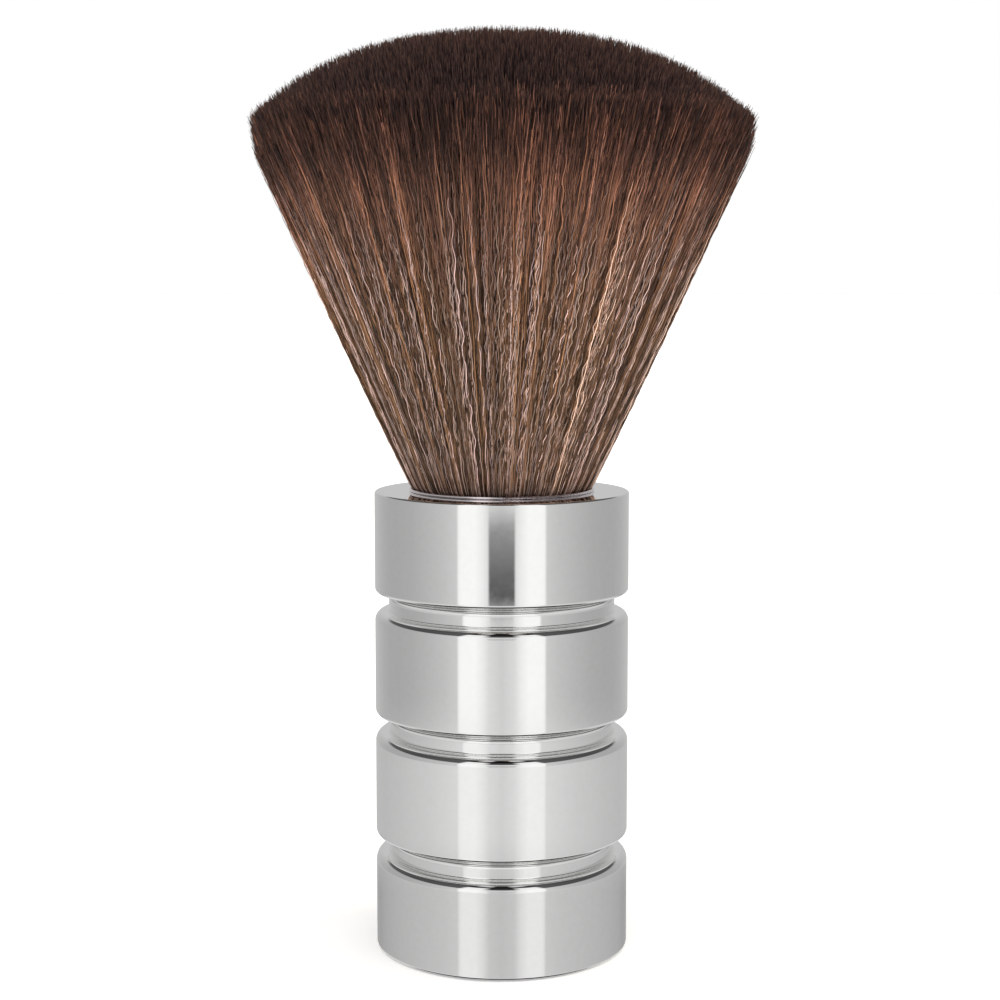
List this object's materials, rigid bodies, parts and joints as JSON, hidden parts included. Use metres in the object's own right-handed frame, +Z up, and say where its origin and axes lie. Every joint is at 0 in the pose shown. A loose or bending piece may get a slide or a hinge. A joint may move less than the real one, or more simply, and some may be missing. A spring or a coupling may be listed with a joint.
{
  "type": "neck duster brush",
  "caption": "Barber's neck duster: a flared, dome-trimmed round head of soft filament in a plated cylindrical handle with ring grooves, free-standing on its flat foot.",
  "frame": {"origin": "centre of the foot pad's underside, on the surface the brush stands on", "axes": "+Z up the brush's axis of revolution, from the foot towards the bristle tips; +X and +Y are equivalent"},
  "size_m": [0.086, 0.086, 0.158],
  "materials": {
    "plated_shell": "polished",
    "liner_plastic": "satin",
    "ferrule_metal": "polished",
    "binding_thread": "matte",
    "epoxy_resin": "gloss",
    "filament": "satin",
    "ballast_steel": "satin",
    "foam": "matte",
    "cap_plastic": "satin",
    "screw_steel": "satin"
  },
  "bodies": {
    "root": {"handle_shell": "plated_shell", "inner_liner": "liner_plastic", "ferrule": "ferrule_metal", "root_binding": "binding_thread", "epoxy_plug": "epoxy_resin", "bristle_tuft": "filament", "ballast_weight": "ballast_steel", "damper_washer": "foam", "base_cap": "cap_plastic", "clamp_screw": "screw_steel", "spring_washer": "screw_steel", "base_pad": "foam"}
  },
  "joints": []
}
